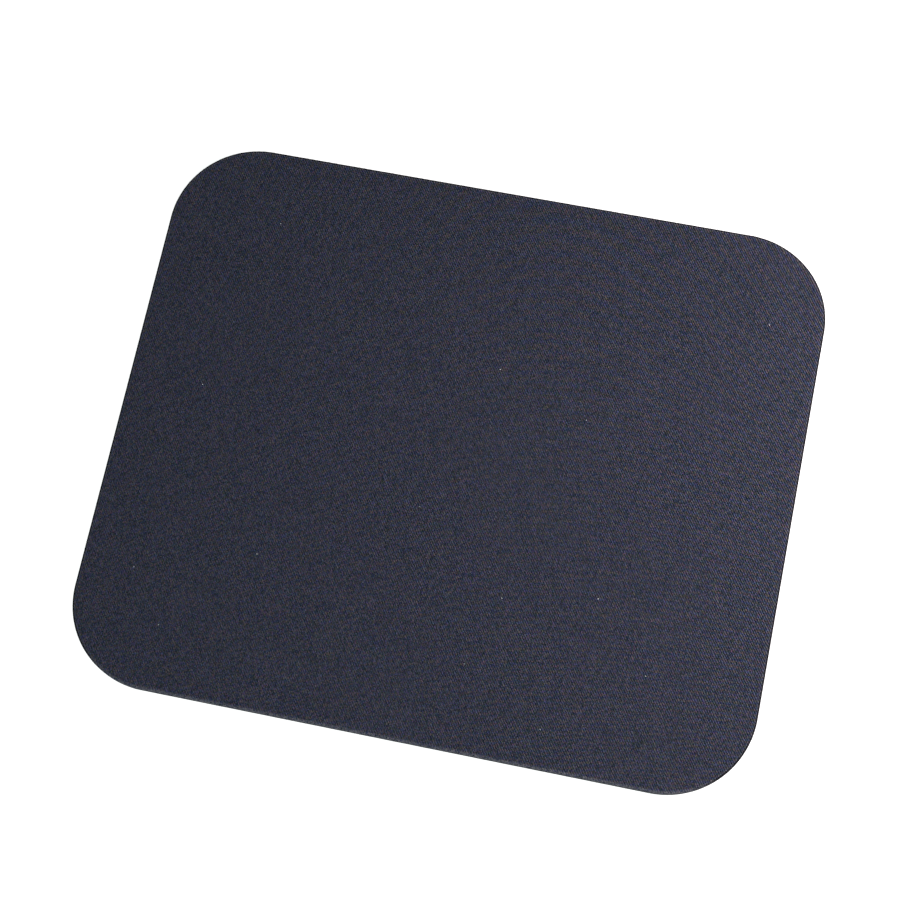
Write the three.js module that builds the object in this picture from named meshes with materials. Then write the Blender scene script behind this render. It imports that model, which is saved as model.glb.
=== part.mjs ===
// Cloth-faced mouse pad: a rounded rectangle of laminated sheet, cut through all its layers by one
// stroke of a steel-rule die. It lies flat, with no hinge, fastener, hem or binding.
// Millimetres, +Z up. The origin is the middle of the underside, +X runs along the long side and
// +Y points away from the person who uses the pad.
import * as THREE from "three";

// Outline of the die
const padWidth = 260;
const padDepth = 220;
const cornerRadius = 34;

// Thickness of each layer, from the desk upwards
const soleThickness = 0.5;
const soleBondThickness = 0.1;
const coreThickness = 1.85;
const clothBondThickness = 0.1;
const clothThickness = 0.45;

// Cut wall: the blade drags the upper edge of the cloth down into a roll, and the foam, squeezed
// under the blade, springs back with a slightly hollow wall
const clothRollWidth = 0.7;
const clothRollDrop = 0.3;
const coreHollow = 0.15;

// Fineness of the round corners and of the curved walls
const cornerSteps = 10;
const wallSteps = 8;

// Middles of the corner arcs: a box that the outline surrounds at one corner radius
const arcX = padWidth / 2 - cornerRadius;
const arcY = padDepth / 2 - cornerRadius;

// The rounded rectangle that every layer is cut to
function padOutline() {
  const quarter = Math.PI / 2;
  const outline = new THREE.Shape();
  outline.moveTo(arcX, -padDepth / 2);
  outline.absarc(arcX, -arcY, cornerRadius, -quarter, 0);
  outline.absarc(arcX, arcY, cornerRadius, 0, quarter);
  outline.absarc(-arcX, arcY, cornerRadius, quarter, 2 * quarter);
  outline.absarc(-arcX, -arcY, cornerRadius, 2 * quarter, 3 * quarter);
  outline.closePath();
  return outline;
}

// One layer, standing on z = 0. Each point of its wall is drawn in from the die's outline by
// drawnIn(height), along the line from the middle of its corner arc or straight across from its side.
function cutLayer(thickness, steps, drawnIn) {
  const geometry = new THREE.ExtrudeGeometry(padOutline(), {
    depth: thickness,
    steps,
    curveSegments: cornerSteps,
    bevelEnabled: false,
  });
  const points = geometry.getAttribute("position");
  for (let i = 0; i < points.count; i++) {
    const coreX = THREE.MathUtils.clamp(points.getX(i), -arcX, arcX);
    const coreY = THREE.MathUtils.clamp(points.getY(i), -arcY, arcY);
    const share = 1 - drawnIn(points.getZ(i)) / cornerRadius;
    points.setX(i, coreX + (points.getX(i) - coreX) * share);
    points.setY(i, coreY + (points.getY(i) - coreY) * share);
  }
  geometry.computeVertexNormals();
  return geometry;
}

// A thin sheet that the blade leaves square
function squareSheet(thickness) {
  return cutLayer(thickness, 1, () => 0);
}

function layerMesh(name, geometry, color, roughness) {
  const mesh = new THREE.Mesh(
    geometry,
    new THREE.MeshStandardMaterial({ color, roughness, metalness: 0 }),
  );
  mesh.name = name;
  return mesh;
}

// Non-slip rubber sheet that lies on the desk
function gripSole() {
  return layerMesh("grip_sole", squareSheet(soleThickness), 0x1f1f21, 0.8);
}

// Hot-melt film that holds the sole on the foam
function soleBond() {
  return layerMesh("sole_bond", squareSheet(soleBondThickness), 0x2a2a2c, 0.45);
}

// Closed-cell foam sheet with its hollow cut wall: a parabola, deepest half way up
function foamCore() {
  const hollowAt = (z) => coreHollow * 4 * (z / coreThickness) * (1 - z / coreThickness);
  const geometry = cutLayer(coreThickness, wallSteps, hollowAt);
  return layerMesh("foam_core", geometry, 0x19191b, 0.95);
}

// Hot-melt film that holds the cloth on the foam
function clothBond() {
  return layerMesh("cloth_bond", squareSheet(clothBondThickness), 0x2a2a2c, 0.45);
}

// Knitted face cloth with its rolled upper edge: a quarter of an ellipse, no taller than the cloth
function clothFace() {
  const drop = Math.min(clothRollDrop, clothThickness);
  const rollAt = (z) => {
    const climb = Math.max(0, z - (clothThickness - drop)) / drop;
    return clothRollWidth * (1 - Math.sqrt(Math.max(0, 1 - climb * climb)));
  };
  const geometry = cutLayer(clothThickness, wallSteps, rollAt);
  return layerMesh("cloth_face", geometry, 0x343642, 0.95);
}

// The layers lie face to face, each on top of the one before
const stack = [
  [gripSole(), soleThickness],
  [soleBond(), soleBondThickness],
  [foamCore(), coreThickness],
  [clothBond(), clothBondThickness],
  [clothFace(), clothThickness],
];

const mousePad = new THREE.Group();
mousePad.name = "mouse_pad";
let level = 0;
for (const [layer, thickness] of stack) {
  layer.position.z = level;
  level += thickness;
  mousePad.add(layer);
}

export default mousePad;
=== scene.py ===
from math import cos, pi, radians, sin

import bpy
import numpy as np
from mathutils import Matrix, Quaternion, Vector


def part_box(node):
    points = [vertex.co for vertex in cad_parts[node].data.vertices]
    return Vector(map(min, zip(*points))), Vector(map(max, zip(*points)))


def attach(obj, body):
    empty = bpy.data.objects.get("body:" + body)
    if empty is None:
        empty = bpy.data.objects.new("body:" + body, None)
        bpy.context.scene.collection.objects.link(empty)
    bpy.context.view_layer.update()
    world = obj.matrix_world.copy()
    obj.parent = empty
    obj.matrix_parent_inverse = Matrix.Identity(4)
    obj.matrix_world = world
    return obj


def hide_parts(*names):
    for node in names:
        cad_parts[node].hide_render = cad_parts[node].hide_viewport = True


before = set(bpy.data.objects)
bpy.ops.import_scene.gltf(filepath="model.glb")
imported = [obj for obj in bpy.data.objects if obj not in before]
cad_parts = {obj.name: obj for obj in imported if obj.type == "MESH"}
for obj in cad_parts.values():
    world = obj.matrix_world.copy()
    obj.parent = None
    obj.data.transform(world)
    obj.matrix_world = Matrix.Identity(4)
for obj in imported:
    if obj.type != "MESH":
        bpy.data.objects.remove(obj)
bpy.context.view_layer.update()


# Grip sole
# The lowest layer of the laminate: a calendered sheet of soft black rubber. A warm roller presses wavy
# ridges into its underside so that the pad holds on a desk, and the cutting die runs through them.
MM = 0.001
sole_low, sole_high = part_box("grip_sole")
corner_radius = 34 * MM
arc_x = sole_high.x - corner_radius
arc_y = sole_high.y - corner_radius
quarter_arc = corner_radius * pi / 2
ridge_pitch = 5 * MM
ridge_depth = 0.2 * MM
wave_length = 22 * MM
wave_swing = 1.6 * MM
sole_cells = (296, 250)

# Travel once round the die's outline, anticlockwise from the left end of the front side
half_round = [2 * arc_x, quarter_arc, 2 * arc_y, quarter_arc]
legs = np.cumsum([0, *half_round, *half_round])


def outline(travel, inset):
    """x and y on the outline, drawn in by inset. The outline keeps one corner radius from an inner box: the
    travel carries a point along each side of that box, and at its corners turns the way out by a quarter."""
    travel = np.mod(travel, legs[-1])
    box_x = np.interp(travel, legs, arc_x * np.array([-1, 1, 1, 1, 1, -1, -1, -1, -1]))
    box_y = np.interp(travel, legs, arc_y * np.array([-1, -1, -1, 1, 1, 1, 1, -1, -1]))
    turn = np.interp(travel, legs, pi / 2 * np.array([-1, -1, 0, 0, 1, 1, 2, 2, 3]))
    reach = corner_radius - inset
    return np.stack([box_x + reach * np.cos(turn), box_y + reach * np.sin(turn)])


def laid_grid(columns, rows):
    """A grid that fills the outline with scaled copies of it. With u and v from -1 to 1 across the pad, the
    larger of |u| and |v| is the scale of the copy, and the other one over that scale is the place on one of
    its sides, from the middle of one corner to the middle of the next. Returns (scale, travel)."""
    u, v = np.meshgrid(np.linspace(-1, 1, columns + 1), np.linspace(-1, 1, rows + 1))
    scale = np.maximum(np.abs(u), np.abs(v))
    side = np.select([v <= -np.abs(u), u >= np.abs(v), v >= np.abs(u)], [0, 1, 2], 3)
    share = np.where(side % 2 == 0, u, v) / np.maximum(scale, 1e-9)
    middle = np.array([arc_x, legs[2] + arc_y, legs[4] + arc_x, legs[6] + arc_y])
    half = np.array([arc_x, arc_y, arc_x, arc_y]) + quarter_arc / 2
    way = np.array([1, 1, -1, -1])
    return scale, middle[side] + way[side] * share * half[side]


def once_round(grid):
    """The rim of a grid, anticlockwise from above: front row, right column, back row, left column."""
    return np.concatenate([grid[0, :-1], grid[:-1, -1], grid[-1, :0:-1], grid[:0:-1, 0]])


def grid_quads(number):
    """Quads of a grid of point numbers, facing up where its rows run from left to right and front to back."""
    return np.stack([number[:-1, :-1], number[:-1, 1:], number[1:, 1:], number[1:, :-1]], -1).reshape(-1, 4)


def wall_quads(number):
    """Quads between loops of point numbers that lie below each other, facing out from the pad."""
    after = np.roll(number, -1, axis=1)
    return np.stack([number[:-1], number[1:], after[1:], after[:-1]], -1).reshape(-1, 4)


def loops_at(travel, insets, heights):
    """A wall profile carried round the outline: one loop of points for each pair of inset and height."""
    loops = []
    for inset, height in zip(insets, heights):
        level = np.broadcast_to(height, travel.shape)
        loops.append(np.stack([*outline(travel, inset), level], -1))
    return np.stack(loops)


def add_piece(name, points, faces):
    """A smooth mesh object of these points and faces, with sharp edges where faces meet at a wide angle."""
    sharp_angle = radians(40)
    mesh = bpy.data.meshes.new(name)
    mesh.from_pydata(points.reshape(-1, 3).tolist(), [], faces)
    mesh.shade_smooth()
    mesh.set_sharp_from_angle(angle=sharp_angle)
    piece = bpy.data.objects.new(name, mesh)
    bpy.context.scene.collection.objects.link(piece)
    return piece


def lay_out(piece, points, rim):
    """Spreads a sheet on a square picture map, for a mesh whose last faces are a wall of as many quads as its
    rim has points, and one hidden flat side. The face fills most of the square, seen from straight above, the
    wall unrolls into a strip along the lower edge, and the hidden side takes a small patch in the corner.
    Places and sizes on the map are shares of its side."""
    margin = 0.005
    face_place, face_size = (margin, 0.055), (0.99, 0.94)
    hidden_place, hidden_size = (0.94, margin), (0.05, 0.04)
    strip_length, strip_foot, strip_top = 0.92, 0.015, 0.035
    corner = np.empty(len(piece.data.loops), np.int32)
    piece.data.loops.foreach_get("vertex_index", corner)
    low, high = points[:, :2].min(axis=0), points[:, :2].max(axis=0)
    across = (points[corner, :2] - low) / (high - low)
    place = face_place + across * face_size
    place[-rim:] = hidden_place + across[-rim:] * hidden_size
    strip_u = margin + strip_length * (np.arange(rim)[:, None] + (0, 0, 1, 1)) / rim
    strip_v = np.broadcast_to((strip_top, strip_foot, strip_foot, strip_top), strip_u.shape)
    strip = np.stack([strip_u, strip_v], -1).reshape(-1, 2)
    place[-rim - len(strip):-rim] = strip
    piece.data.uv_layers.new(name="OFBake").data.foreach_set("uv", place.ravel().astype(np.float32))


def linear(hex_colour):
    """sRGB hex to linear red, green, blue and alpha, by the standard's curve with its straight foot."""
    srgb = np.array([int(hex_colour[i:i + 2], 16) / 255 for i in (1, 3, 5)])
    light = np.where(srgb <= 0.04045, srgb / 12.92, ((srgb + 0.055) / 1.055) ** 2.4)
    return (*light.tolist(), 1.0)


def add_node(tree, kind, inputs=None, **settings):
    """Adds one node with its settings. Each input is linked if it is given a socket, and otherwise set."""
    node = tree.nodes.new(kind)
    for name, value in settings.items():
        setattr(node, name, value)
    for name, value in (inputs or {}).items():
        if isinstance(value, bpy.types.NodeSocket):
            tree.links.new(value, node.inputs[name])
        else:
            node.inputs[name].default_value = value
    return node


def new_material(name):
    """An empty node material and its tree."""
    material = bpy.data.materials.new(name)
    material.use_nodes = True
    material.node_tree.nodes.clear()
    return material, material.node_tree


# The ridges are a cosine across the pad whose phase swings from side to side: 0 on a ridge, 1 in a groove
sole_scale, sole_travel = laid_grid(*sole_cells)
sole_x, sole_y = sole_scale * outline(sole_travel, 0)
ridge_phase = (sole_y + wave_swing * np.sin(2 * pi * sole_x / wave_length)) / ridge_pitch
groove = 0.5 - 0.5 * np.cos(2 * pi * ridge_phase)
sole_under = np.stack([sole_x, sole_y, sole_low.z + ridge_depth * groove], -1)
sole_rim = loops_at(once_round(sole_travel), [0], [sole_high.z])
sole_number = np.arange(sole_x.size).reshape(sole_x.shape)
sole_top = sole_x.size + np.arange(sole_rim.shape[1])
sole_faces = np.concatenate([
    grid_quads(sole_number)[:, ::-1],
    wall_quads(np.stack([sole_top, once_round(sole_number)])),
]).tolist()
sole_faces.append(sole_top.tolist())
sole_points = np.concatenate([sole_under.reshape(-1, 3), sole_rim.reshape(-1, 3)])
rubber_sole = add_piece("rubber_sole", sole_points, sole_faces)
lay_out(rubber_sole, sole_points, sole_top.size)

# Vulcanised rubber: matt black with a grey bloom in soft clouds and the fine grain of the embossing roller
bloom_size = 16 * MM
grain_size = 0.5 * MM
grain_height = 0.04 * MM
rubber, tree = new_material("vulcanised_rubber")
place = add_node(tree, "ShaderNodeTexCoord").outputs["Object"]
bloom = add_node(tree, "ShaderNodeTexNoise", {"Vector": place, "Scale": 1 / bloom_size, "Detail": 3.0})
grain = add_node(tree, "ShaderNodeTexNoise", {"Vector": place, "Scale": 1 / grain_size, "Detail": 2.0})
tone = add_node(
    tree, "ShaderNodeMix",
    {0: bloom.outputs[0], 6: linear("#141416"), 7: linear("#222224")},
    data_type="RGBA",
)
roughness = add_node(
    tree, "ShaderNodeMapRange",
    {"Value": grain.outputs[0], "To Min": 0.62, "To Max": 0.86},
)
relief = add_node(tree, "ShaderNodeBump", {"Height": grain.outputs[0], "Distance": grain_height})
surface = add_node(
    tree, "ShaderNodeBsdfPrincipled",
    {
        "Base Color": tone.outputs[2],
        "Roughness": roughness.outputs[0],
        "IOR": 1.52,
        "Specular IOR Level": 0.2,
        "Normal": relief.outputs[0],
    },
)
add_node(tree, "ShaderNodeOutputMaterial", {"Surface": surface.outputs[0]})
rubber_sole.data.materials.append(rubber)
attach(rubber_sole, "root")
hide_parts("grip_sole")


# Sole bond
# A film of black hot-melt adhesive between the rubber and the foam. Heat and rollers melt it into both, and
# at the cut edge it stands out a hair, as a bead where the blade squeezed it.
film_bead = 0.03 * MM
film_steps = 900
film_bulge = np.array([0, 0.7, 1, 0.7, 0])
rim_travel = np.linspace(0, legs[-1], film_steps, endpoint=False)


def melt_film(name, node):
    """A flat film whose wall bulges by half a wave from its upper to its lower edge, with two flat faces."""
    low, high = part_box(node)
    loops = loops_at(rim_travel, -film_bead * film_bulge, np.linspace(high.z, low.z, len(film_bulge)))
    number = np.arange(loops.shape[0] * loops.shape[1]).reshape(loops.shape[:2])
    faces = wall_quads(number).tolist()
    faces += [number[0].tolist(), number[-1, ::-1].tolist()]
    film = add_piece(name, loops, faces)
    film.data.materials.append(hot_melt)
    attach(film, "root")
    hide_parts(node)
    return film


# Hot-melt film: near black and satin, streaked where it flowed along the rollers
streak_length = 9 * MM
streak_width = 1.5 * MM
streak_depth = 0.3 * MM
hot_melt, tree = new_material("hot_melt_film")
place = add_node(tree, "ShaderNodeTexCoord").outputs["Object"]
drawn = add_node(
    tree, "ShaderNodeVectorMath",
    {0: place, 1: (1 / streak_length, 1 / streak_width, 1 / streak_depth)},
    operation="MULTIPLY",
)
streak = add_node(tree, "ShaderNodeTexNoise", {"Vector": drawn.outputs[0], "Scale": 1.0, "Detail": 3.0})
tone = add_node(
    tree, "ShaderNodeMix",
    {0: streak.outputs[0], 6: linear("#18181a"), 7: linear("#2c2c2f")},
    data_type="RGBA",
)
roughness = add_node(
    tree, "ShaderNodeMapRange",
    {"Value": streak.outputs[0], "To Min": 0.3, "To Max": 0.55},
)
surface = add_node(
    tree, "ShaderNodeBsdfPrincipled",
    {
        "Base Color": tone.outputs[2],
        "Roughness": roughness.outputs[0],
        "IOR": 1.49,
        "Specular IOR Level": 0.3,
    },
)
add_node(tree, "ShaderNodeOutputMaterial", {"Surface": surface.outputs[0]})
melt_film("sole_melt_film", "sole_bond")


# Foam core
# The body of the pad: a sheet of black closed-cell foam. The blade squeezes it while it cuts, so its wall
# springs back a little hollow, and the cells that it opened leave the wall pitted.
foam_low, foam_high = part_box("foam_core")
foam_hollow = 0.15 * MM
foam_pit = 0.035 * MM
foam_steps = 2400
foam_levels = 11
chance = np.random.default_rng(17)

# The hollow is a parabola from the upper to the lower edge, and every inner point of the wall has its own pit
foam_down = np.linspace(0, 1, foam_levels)
foam_pits = foam_pit * np.abs(chance.normal(0, 1, (foam_levels, foam_steps)))
foam_pits[[0, -1]] = 0
foam_travel = np.linspace(0, legs[-1], foam_steps, endpoint=False)
foam_loops = loops_at(
    foam_travel,
    foam_hollow * (4 * foam_down * (1 - foam_down))[:, None] + foam_pits,
    foam_high.z + (foam_low.z - foam_high.z) * foam_down,
)
foam_number = np.arange(foam_levels * foam_steps).reshape(foam_levels, foam_steps)
foam_faces = wall_quads(foam_number).tolist()
foam_faces += [foam_number[0].tolist(), foam_number[-1, ::-1].tolist()]
foam_sheet = add_piece("foam_sheet", foam_loops, foam_faces)

# Closed-cell foam: dull black, with the thin pale rims of the cut cells round their dark insides
cell_size = 0.3 * MM
cell_depth = 0.05 * MM
foam, tree = new_material("closed_cell_foam")
place = add_node(tree, "ShaderNodeTexCoord").outputs["Object"]
cells = add_node(tree, "ShaderNodeTexVoronoi", {"Vector": place, "Scale": 1 / cell_size}, feature="F1")
tone = add_node(
    tree, "ShaderNodeMix",
    {0: cells.outputs["Distance"], 6: linear("#0b0b0d"), 7: linear("#1c1c1f")},
    data_type="RGBA",
)
relief = add_node(tree, "ShaderNodeBump", {"Height": cells.outputs["Distance"], "Distance": cell_depth})
surface = add_node(
    tree, "ShaderNodeBsdfPrincipled",
    {
        "Base Color": tone.outputs[2],
        "Roughness": 0.9,
        "IOR": 1.5,
        "Specular IOR Level": 0.08,
        "Normal": relief.outputs[0],
    },
)
add_node(tree, "ShaderNodeOutputMaterial", {"Surface": surface.outputs[0]})
foam_sheet.data.materials.append(foam)
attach(foam_sheet, "root")
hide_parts("foam_core")


# Cloth bond
# A second hot-melt film, between the foam and the face cloth. It is laid and melted in the same way as the
# first one, and the blade leaves the same bead on it, right under the rim of the cloth.
cloth_film = melt_film("cloth_melt_film", "cloth_bond")


# Face cloth
# A fine knitted polyester, dyed dark blue-grey and pressed flat on the foam by the hot film. The blade drags
# its upper edge down, so the face ends in a soft shoulder and a rolled rim, uneven from loop to loop.
cloth_low, cloth_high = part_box("cloth_face")
cloth_cells = (216, 184)
rim_share = 3
shoulder = 2.6 * MM
shoulder_drop = 0.08 * MM
shoulder_steps = 5
roll = 0.8 * MM
roll_drop = 0.24 * MM
roll_spread = 0.25
roll_angles = np.radians([78, 60, 42, 24, 0])
cut_wander = 0.05 * MM
ripples = ((31, 9, 0.3), (-17, 23, 1.9), (11, -37, 4.1), (43, 29, 2.7))
ripple_height = 0.012 * MM

# The face is a grid inside the shoulder, not quite level: a sum of long ripples, each with its waves along
# x and y over one metre and its phase
cloth_scale, cloth_travel = laid_grid(*cloth_cells)
cloth_x, cloth_y = cloth_scale * outline(cloth_travel, shoulder)
uneven = sum(
    np.sin(2 * pi * (across * cloth_x + along * cloth_y) + phase)
    for across, along, phase in ripples
)
face_level = cloth_high.z - ripple_height * len(ripples)
cloth_top = np.stack([cloth_x, cloth_y, face_level + ripple_height * uneven], -1)

# The rim carries the edge's profile round the outline, with several points for each one of the grid's: a
# parabola down the shoulder, a quarter of an ellipse over the roll and straight down the cut wall. Every
# point of the outline has its own depth of roll and its own place of the cut.
grid_rim = once_round(cloth_travel)
cloth_rim = np.interp(
    np.arange(grid_rim.size * rim_share) / rim_share,
    np.arange(grid_rim.size + 1),
    np.append(grid_rim, grid_rim[0] + legs[-1]),
)
chance = np.random.default_rng(29)
wander = cut_wander * chance.uniform(0, 1, cloth_rim.size)
depth = roll_drop * (1 + roll_spread * chance.uniform(-1, 1, cloth_rim.size))
shoulder_insets = np.linspace(shoulder, roll, shoulder_steps)[1:]
roll_insets = roll * (1 - np.cos(roll_angles))
cloth_insets = np.concatenate([shoulder_insets, roll_insets])[:, None]
on_shoulder = 1 - cloth_insets / shoulder
on_roll = np.clip(1 - cloth_insets / roll, 0, 1)
cloth_heights = face_level - shoulder_drop * on_shoulder ** 2 - depth * (1 - np.sqrt(1 - on_roll ** 2))
cloth_loops = loops_at(cloth_rim, cloth_insets + wander, cloth_heights)
cloth_foot = loops_at(cloth_rim, [wander], [cloth_low.z])
cloth_points = np.concatenate([
    cloth_top.reshape(-1, 3),
    cloth_loops.reshape(-1, 3),
    cloth_foot.reshape(-1, 3),
])

# Faces: the grid, a ring of many-sided faces from the grid's rim to the finer first loop, the rings below it
# and one flat face underneath
cloth_number = np.arange(cloth_x.size).reshape(cloth_x.shape)
loop_number = cloth_x.size + np.arange((len(cloth_insets) + 1) * cloth_rim.size).reshape(-1, cloth_rim.size)
grid_side = once_round(cloth_number)
fine_side = loop_number[0].reshape(-1, rim_share)
join_faces = np.column_stack([grid_side, fine_side, np.roll(fine_side[:, 0], -1), np.roll(grid_side, -1)])
cloth_faces = grid_quads(cloth_number).tolist() + join_faces.tolist() + wall_quads(loop_number).tolist()
cloth_faces.append(loop_number[-1, ::-1].tolist())
face_cloth = add_piece("face_cloth", cloth_points, cloth_faces)
lay_out(face_cloth, cloth_points, cloth_rim.size)

# How near the cut each point lies: none on the face, all of it at the cut. It sets the crushed yarn's grey
# and the painted highlight and painted shade along the rim.
cut_reach = 1.25 * MM
cut_nearness = np.repeat(np.clip(1 - np.append(cloth_insets, 0) / cut_reach, 0, 1), cloth_rim.size)
cut_nearness = np.concatenate([np.zeros(cloth_x.size), cut_nearness]).astype(np.float32)
face_cloth.data.attributes.new("cut_nearness", "FLOAT", "POINT").data.foreach_set("value", cut_nearness)

# Rows of warmer yarn, counted from the middle of the pad by a polynomial in x and y. They slope up to the
# right, and because the cloth was drawn a little unevenly when it was laid, they bow down at both ends and
# crowd together towards the front, the right and the ends. The last four values are rows gained in one span:
# by x squared, y squared, x times y, and x squared times y.
row_pitch = 3.35 * MM
row_slope = 0.4
row_span = 100 * MM
row_bow = 9.4
row_crowd = -8.6
row_skew = 3.4
row_fan = 6.3
row_x, row_y = cloth_points[:, :2].T / row_span
rows = (row_y - row_slope * row_x) * row_span / row_pitch + row_bow * row_x ** 2 + row_crowd * row_y ** 2
rows += row_x * row_y * (row_skew + row_fan * row_x)
face_cloth.data.attributes.new("rows", "FLOAT", "POINT").data.foreach_set("value", rows.astype(np.float32))

# Knitted polyester: matt. Every loop shows as a V of two legs, drawn round by painted shade at their edges,
# and took the dye a little differently, lighter or darker, warmer or cooler, and the warmer yarn shows more
# in some rows.
# Those rows are painted stronger towards the right, as painted light from the lamp on the right. The loops
# lean together in slanting ribs that catch a raking light, with painted shade in their grooves and painted
# highlight on their crests, and here and there sits a pale speck of lint. Towards the cut the loops turn
# greyer, partly the crushed yarn's own grey and partly a painted highlight on the rim, and right at the cut a
# band of painted shade darkens them. At the front edge the painted highlight is stronger and the painted
# shade fainter, as lit by the front lamp.
wale = 0.34 * MM
course = 0.34 * MM
leg_width = 0.5  # of a wale
leg_rise = 1.2  # courses that a leg would climb over a whole wale
# Painted shade: each leg is darker at its edges than along its middle, so the legs look round
leg_shade_contrast = 0.2
dye_block = (2, 1, 1)  # wales and courses that took the dye as one
knit_turn = radians(4)
rib_pitch = 0.82 * MM  # drawn coarser than the real ribs, at most 0.7 mm apart, which would not show
rib_lean = radians(39)
rib_height = 0.10 * MM
# Painted shade and highlight: the colour is darker in the ribs' grooves and lighter on their crests
rib_shade_contrast = 0.18
fleck_contrast = 0.32
# Painted light: the warm rows grow stronger from left to right, as where the lamp on the right rakes them
row_left, row_right, row_end = 0.19, 0.42, 120 * MM
# Painted highlight: near the front edge the rim is paler and its painted shade fainter, as lit by the front
# lamp
front_highlight_start, front_highlight_full, front_highlight_share = cloth_low.y + 10 * MM, cloth_low.y + 2 * MM, 0.7
# Grey at the rim: partly the crushed yarn's own grey, partly painted highlight, stronger at the front
fray_and_highlight_plain, fray_and_highlight_front = 0.8, 1.4
# Painted shade: a dark band right at the cut, where the rim turns away from the light
rim_shade_start, rim_shade_full = 0.42, 0.62
lint_share = 0.00003
knit, tree = new_material("knitted_polyester")
place = add_node(tree, "ShaderNodeTexCoord").outputs["Object"]
turned = add_node(
    tree, "ShaderNodeVectorRotate",
    {"Vector": place, "Angle": knit_turn},
    rotation_type="Z_AXIS",
)
counted = add_node(
    tree, "ShaderNodeVectorMath",
    {0: turned.outputs[0], 1: (1 / wale, 1 / course, 0)},
    operation="MULTIPLY",
)
count = add_node(tree, "ShaderNodeSeparateXYZ", {0: counted.outputs[0]})
on_leg = add_node(tree, "ShaderNodeMath", {0: count.outputs["X"], 1: leg_width}, operation="PINGPONG")
risen = add_node(
    tree, "ShaderNodeMath",
    {0: on_leg.outputs[0], 1: leg_rise, 2: count.outputs["Y"]},
    operation="MULTIPLY_ADD",
)
stitch = add_node(tree, "ShaderNodeCombineXYZ", {"X": count.outputs["X"], "Y": risen.outputs[0]})
loop = add_node(tree, "ShaderNodeVectorMath", {0: stitch.outputs[0]}, operation="FLOOR")
loop_pair = add_node(
    tree, "ShaderNodeVectorMath",
    {0: stitch.outputs[0], 1: dye_block},
    operation="SNAP",
)
shade_chance = add_node(
    tree, "ShaderNodeTexWhiteNoise",
    {"Vector": loop.outputs[0]},
    noise_dimensions="2D",
)
dye_chance = add_node(
    tree, "ShaderNodeTexWhiteNoise",
    {"Vector": loop_pair.outputs[0]},
    noise_dimensions="3D",
)
row = add_node(tree, "ShaderNodeAttribute", attribute_name="rows")
row_turn = add_node(tree, "ShaderNodeMath", {0: row.outputs["Fac"], 1: 2 * pi}, operation="MULTIPLY")
row_wave = add_node(tree, "ShaderNodeMath", {0: row_turn.outputs[0]}, operation="COSINE")
spot = add_node(tree, "ShaderNodeSeparateXYZ", {0: place})
# Painted light: how strongly the warm rows show, rising from left to right towards the lamp on the right
row_lit_share = add_node(
    tree, "ShaderNodeMapRange",
    {"Value": spot.outputs["X"], "From Max": row_end, "To Min": row_left, "To Max": row_right},
)
warmth = add_node(
    tree, "ShaderNodeMath",
    {0: row_wave.outputs[0], 1: row_lit_share.outputs[0], 2: dye_chance.outputs["Value"]},
    operation="MULTIPLY_ADD",
    use_clamp=True,
)
cool = add_node(
    tree, "ShaderNodeMix",
    {0: shade_chance.outputs[0], 6: linear("#171e2d"), 7: linear("#343f59")},
    data_type="RGBA",
)
warm = add_node(
    tree, "ShaderNodeMix",
    {0: shade_chance.outputs[0], 6: linear("#212022"), 7: linear("#454346")},
    data_type="RGBA",
)
dyed = add_node(
    tree, "ShaderNodeMix",
    {0: warmth.outputs[0], 6: cool.outputs[2], 7: warm.outputs[2]},
    data_type="RGBA",
)
fleck = add_node(
    tree, "ShaderNodeVectorMath",
    {0: shade_chance.outputs["Color"], 1: 3 * (2 * fleck_contrast,), 2: 3 * (1 - fleck_contrast,)},
    operation="MULTIPLY_ADD",
)
flecked = add_node(
    tree, "ShaderNodeVectorMath",
    {0: dyed.outputs[2], 1: fleck.outputs[0]},
    operation="MULTIPLY",
)
rib_way = Vector((cos(rib_lean), sin(rib_lean), 0))
rib_turn = add_node(
    tree, "ShaderNodeVectorMath",
    {0: turned.outputs[0], 1: 2 * pi / rib_pitch * rib_way},
    operation="DOT_PRODUCT",
)
rib = add_node(tree, "ShaderNodeMath", {0: rib_turn.outputs["Value"]}, operation="COSINE")
# Painted shade and highlight of the ribs: darker in their grooves, lighter on their crests
rib_shade = add_node(
    tree, "ShaderNodeMapRange",
    {"Value": rib.outputs[0], "From Min": -1.0, "To Min": 1 - rib_shade_contrast, "To Max": 1 + rib_shade_contrast},
)
leg_turn = add_node(
    tree, "ShaderNodeMath",
    {0: on_leg.outputs[0], 1: 2 * pi / leg_width},
    operation="MULTIPLY",
)
leg = add_node(tree, "ShaderNodeMath", {0: leg_turn.outputs[0]}, operation="COSINE")
# Painted shade of the legs: darker at their edges, lighter along their middles
leg_shade = add_node(
    tree, "ShaderNodeMath",
    {0: leg.outputs[0], 1: -leg_shade_contrast, 2: 1.0},
    operation="MULTIPLY_ADD",
)
# The painted shade of ribs and legs together, which scales the dyed colour
knit_shade = add_node(
    tree, "ShaderNodeMath",
    {0: rib_shade.outputs[0], 1: leg_shade.outputs[0]},
    operation="MULTIPLY",
)
# The dyed colour with the painted shade of ribs and legs
knit_shaded = add_node(
    tree, "ShaderNodeVectorMath",
    {0: flecked.outputs[0], "Scale": knit_shade.outputs[0]},
    operation="SCALE",
)
# How near the cut a point lies, which sets the rim's grey, painted highlight and painted shade
near_cut = add_node(tree, "ShaderNodeAttribute", attribute_name="cut_nearness").outputs["Fac"]
# Painted highlight: 0 away from the front edge, rising towards it, where the front lamp lights the rim
front_highlight = add_node(
    tree, "ShaderNodeMapRange",
    {"Value": spot.outputs["Y"], "From Min": front_highlight_start, "From Max": front_highlight_full, "To Max": front_highlight_share},
).outputs[0]
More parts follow.
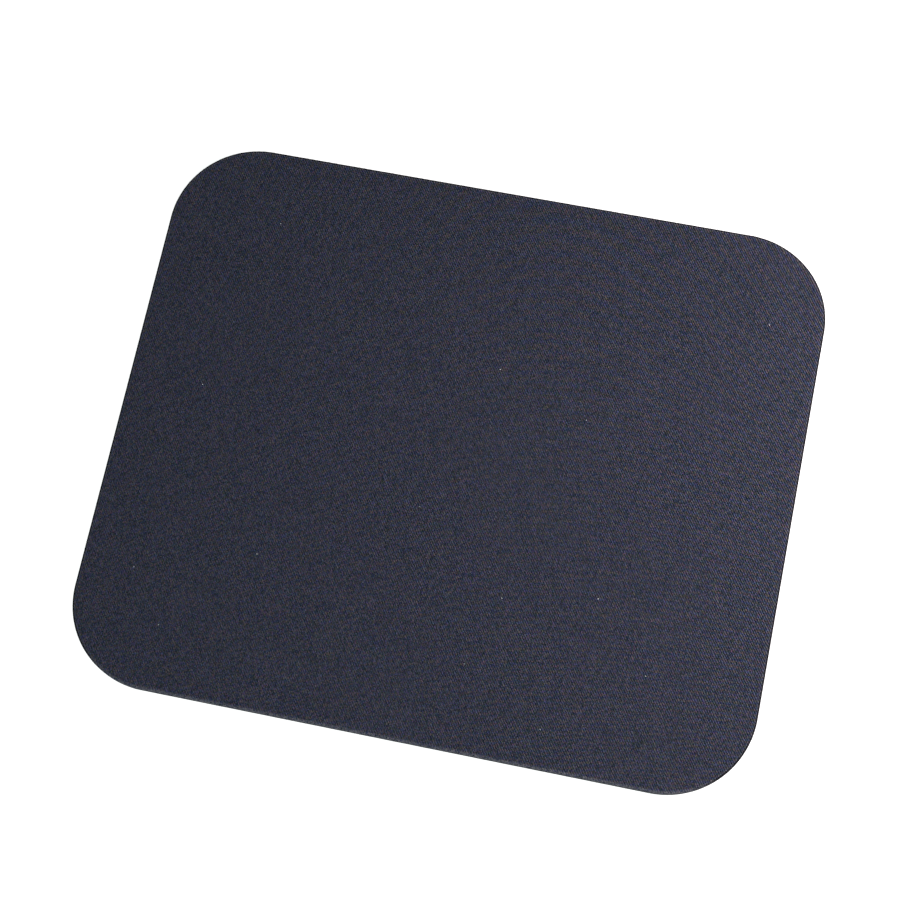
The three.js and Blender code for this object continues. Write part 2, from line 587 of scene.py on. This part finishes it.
# How much the rim's loops turn grey: the crushed yarn's own grey with painted highlight, more at the front
fray_and_highlight_share = add_node(
    tree, "ShaderNodeMapRange",
    {"Value": front_highlight, "To Min": fray_and_highlight_plain, "To Max": fray_and_highlight_front},
)
fray_and_highlight_chance = add_node(
    tree, "ShaderNodeMath",
    {0: dye_chance.outputs["Value"], 1: fray_and_highlight_share.outputs[0]},
    operation="MULTIPLY",
)
fray_and_highlight = add_node(
    tree, "ShaderNodeMath",
    {0: near_cut, 1: fray_and_highlight_chance.outputs[0]},
    operation="MULTIPLY",
    use_clamp=True,
)
# The rim's loops mixed with grey: partly the crushed yarn's own colour, partly painted highlight
frayed_and_highlighted = add_node(
    tree, "ShaderNodeMix",
    {0: fray_and_highlight.outputs[0], 6: knit_shaded.outputs[0], 7: linear("#6c6c74")},
    data_type="RGBA",
)
# Painted shade: a dark band along the cut, where the rim turns away from the light
rim_shading = add_node(
    tree, "ShaderNodeMapRange",
    {"Value": near_cut, "From Min": rim_shade_start, "From Max": rim_shade_full},
)
rim_shade = add_node(
    tree, "ShaderNodeMath",
    {0: rim_shading.outputs[0], 1: front_highlight},
    operation="SUBTRACT",
    use_clamp=True,
)
# The dark band of painted shade at the cut, made fainter at the front where the front lamp lights it
rim_shaded = add_node(
    tree, "ShaderNodeMix",
    {0: rim_shade.outputs[0], 6: frayed_and_highlighted.outputs[2], 7: linear("#131317")},
    data_type="RGBA",
)
lint = add_node(
    tree, "ShaderNodeMath",
    {0: shade_chance.outputs[0], 1: 1 - lint_share},
    operation="GREATER_THAN",
)
tone = add_node(
    tree, "ShaderNodeMix",
    {0: lint.outputs[0], 6: rim_shaded.outputs[2], 7: linear("#b0b5b8")},
    data_type="RGBA",
)
relief = add_node(tree, "ShaderNodeBump", {"Height": rib.outputs[0], "Distance": rib_height})
surface = add_node(
    tree, "ShaderNodeBsdfPrincipled",
    {
        "Base Color": tone.outputs[2],
        "Roughness": 0.88,
        "IOR": 1.5,
        "Specular IOR Level": 0.05,
        "Sheen Weight": 0.03,
        "Sheen Roughness": 0.5,
        "Sheen Tint": linear("#9aa0c0"),
        "Normal": relief.outputs[0],
    },
)
add_node(tree, "ShaderNodeOutputMaterial", {"Surface": surface.outputs[0]})
face_cloth.data.materials.append(knit)
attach(face_cloth, "root")
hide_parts("cloth_face")


# Cut yarn ends
# Where the blade went through the knit, the ends of the yarns stand out of the cut as short tapered stubs.
# They are bits of the face cloth itself, rooted in its wall all the way round.
yarn_count = 1500
yarn_sides = 5
yarn_stations = np.array([0, 0.6, 1])
yarn_taper = np.array([1, 0.8, 0.35])
yarn_root = 0.15 * MM
yarn_reach = (0.03 * MM, 0.16 * MM)
yarn_thick = (0.05 * MM, 0.09 * MM)
yarn_band = (0.08 * MM, 0.22 * MM)
yarn_sway = 0.5
chance = np.random.default_rng(41)

# Each stub is a tapered tube along a straight axis that points out of the wall and leans at random along the
# rim and up or down. It starts in a band of the wall above the film. A tube is (stub, station, side).
yarn_travel = chance.uniform(0, legs[-1], yarn_count)
yarn_level = cloth_low.z + chance.uniform(*yarn_band, yarn_count)
root_x, root_y = outline(yarn_travel, yarn_root)
out_x, out_y = outline(yarn_travel, yarn_root - 1) - (root_x, root_y)
lean_along, lean_up = yarn_sway * chance.uniform(-1, 1, (2, yarn_count))
axis = np.stack([out_x - lean_along * out_y, out_y + lean_along * out_x, lean_up], -1)
axis /= np.linalg.norm(axis, axis=-1, keepdims=True)
beside = np.stack([-axis[:, 1], axis[:, 0], np.zeros(yarn_count)], -1)
beside /= np.linalg.norm(beside, axis=-1, keepdims=True)
above = np.cross(axis, beside)
yarn_length = yarn_root + chance.uniform(*yarn_reach, yarn_count)
yarn_radius = chance.uniform(*yarn_thick, yarn_count) / 2
turn = 2 * pi * np.arange(yarn_sides) / yarn_sides
ring = np.cos(turn)[:, None] * beside[:, None] + np.sin(turn)[:, None] * above[:, None]
along = (yarn_length[:, None] * yarn_stations)[..., None] * axis[:, None]
spread = (yarn_radius[:, None] * yarn_taper)[..., None, None] * ring[:, None]
root = np.stack([root_x, root_y, yarn_level], -1)
yarn_points = root[:, None, None] + along[:, :, None] + spread
yarn_number = np.arange(yarn_points.size // 3).reshape(yarn_points.shape[:3])
after = np.roll(yarn_number, -1, axis=2)
yarn_walls = np.stack([yarn_number[:, :-1], after[:, :-1], after[:, 1:], yarn_number[:, 1:]], -1)
yarn_faces = yarn_walls.reshape(-1, 4).tolist()
yarn_faces += yarn_number[:, -1].tolist() + yarn_number[:, 0, ::-1].tolist()
yarn_ends = add_piece("cut_yarn_ends", yarn_points, yarn_faces)

# Cut polyester yarn: the dye did not reach the middle of every fibre, so the ends are greyer than the face
fibre_size = 0.4 * MM
yarn, tree = new_material("cut_polyester_yarn")
place = add_node(tree, "ShaderNodeTexCoord").outputs["Object"]
fibre = add_node(tree, "ShaderNodeTexNoise", {"Vector": place, "Scale": 1 / fibre_size, "Detail": 2.0})
tone = add_node(
    tree, "ShaderNodeMix",
    {0: fibre.outputs[0], 6: linear("#22242e"), 7: linear("#565964")},
    data_type="RGBA",
)
surface = add_node(
    tree, "ShaderNodeBsdfPrincipled",
    {"Base Color": tone.outputs[2], "Roughness": 0.85, "IOR": 1.5, "Specular IOR Level": 0.1},
)
add_node(tree, "ShaderNodeOutputMaterial", {"Surface": surface.outputs[0]})
yarn_ends.data.materials.append(yarn)
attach(yarn_ends, "root")


# Floor
# A plain white sweep under the pad. To the eye it is white, and it keeps the shadow that the pad lays on it.
floor_half = 3.0
floor_gap = 0.1 * MM
floor_level = sole_low.z - floor_gap
floor_corners = floor_half * np.array([[-1, -1, 0], [1, -1, 0], [1, 1, 0], [-1, 1, 0]])
floor = add_piece("floor", floor_corners + (0, 0, floor_level), [[0, 1, 2, 3]])


def shown(tree):
    """1 for a ray from the camera, or one that was mirrored or bent on its way, and 0 for spread light."""
    path = add_node(tree, "ShaderNodeLightPath")
    seen = path.outputs["Is Camera Ray"]
    for way in ("Is Glossy Ray", "Is Transmission Ray"):
        either = add_node(tree, "ShaderNodeMath", {0: seen, 1: path.outputs[way]}, operation="MAXIMUM")
        seen = either.outputs[0]
    return seen


# White paper: matt, and whitened to the eye as on an overexposed background
paper_glow = 0.86
paper, tree = new_material("white_paper")
glow = add_node(tree, "ShaderNodeMath", {0: shown(tree), 1: paper_glow}, operation="MULTIPLY")
lit = add_node(tree, "ShaderNodeBsdfDiffuse", {"Color": linear("#cfcfcf")})
whitened = add_node(tree, "ShaderNodeEmission", {"Strength": glow.outputs[0]})
both = add_node(tree, "ShaderNodeAddShader", {0: lit.outputs[0], 1: whitened.outputs[0]})
add_node(tree, "ShaderNodeOutputMaterial", {"Surface": both.outputs[0]})
floor.data.materials.append(paper)


# Light
# A bright white room lights the pad evenly from above. A lamp low on the right rakes over the knit, and a
# wide one that stands very low in front brings out the front rim.
room_light = 0.311
room_colour = (0.83, 1.0, 1.02, 1.0)
world = bpy.data.worlds.new("white_room")
world.use_nodes = True
tree = world.node_tree
tree.nodes.clear()
room = add_node(tree, "ShaderNodeBackground", {"Color": room_colour, "Strength": room_light})
backdrop = add_node(tree, "ShaderNodeBackground", {"Color": (1.0, 1.0, 1.0, 1.0), "Strength": 1.0})
seen = add_node(tree, "ShaderNodeMixShader", {0: shown(tree), 1: room.outputs[0], 2: backdrop.outputs[0]})
add_node(tree, "ShaderNodeOutputWorld", {"Surface": seen.outputs[0]})
bpy.context.scene.world = world


def add_lamp(name, at, wide, high, watts, colour):
    """A rectangular lamp that faces the pad's middle and is hidden from the camera."""
    data = bpy.data.lights.new(name, "AREA")
    data.shape = "RECTANGLE"
    data.size = wide
    data.size_y = high
    data.energy = watts
    data.color = colour
    lamp = bpy.data.objects.new(name, data)
    lamp.location = at
    lamp.rotation_mode = "QUATERNION"
    lamp.rotation_quaternion = (-Vector(at)).to_track_quat("-Z", "Y")
    lamp.visible_camera = False
    bpy.context.scene.collection.objects.link(lamp)


add_lamp(
    "side_lamp", at=(0.451, 0.125, 0.130), wide=0.24, high=0.18,
    watts=4.7, colour=(1.15, 1.0, 1.0),
)
add_lamp(
    "front_lamp", at=(-0.10, -1.45, 0.28), wide=1.2, high=0.24,
    watts=24.0, colour=(0.93, 1.0, 0.98),
)


# Camera
# It stands in front of the pad and a little to the right, looks steeply down and is tilted to one side.
look_at = Vector((-1.804, 3.370, 0)) * MM
look_from = 819.85 * MM
azimuth = radians(-22.426)
elevation = radians(73.806)
tilt = radians(-11.008)
film_width = 36.0
focal_length = 85.72
direction = Vector((sin(azimuth) * cos(elevation), cos(azimuth) * cos(elevation), -sin(elevation)))
lens = bpy.data.cameras.new("camera")
lens.sensor_width = film_width
lens.lens = focal_length
camera = bpy.data.objects.new("camera", lens)
camera.location = look_at - direction * look_from
camera.rotation_mode = "QUATERNION"
camera.rotation_quaternion = direction.to_track_quat("-Z", "Y") @ Quaternion((0, 0, 1), tilt)
bpy.context.scene.collection.objects.link(camera)
bpy.context.scene.camera = camera
bpy.context.scene.view_settings.view_transform = "Standard"
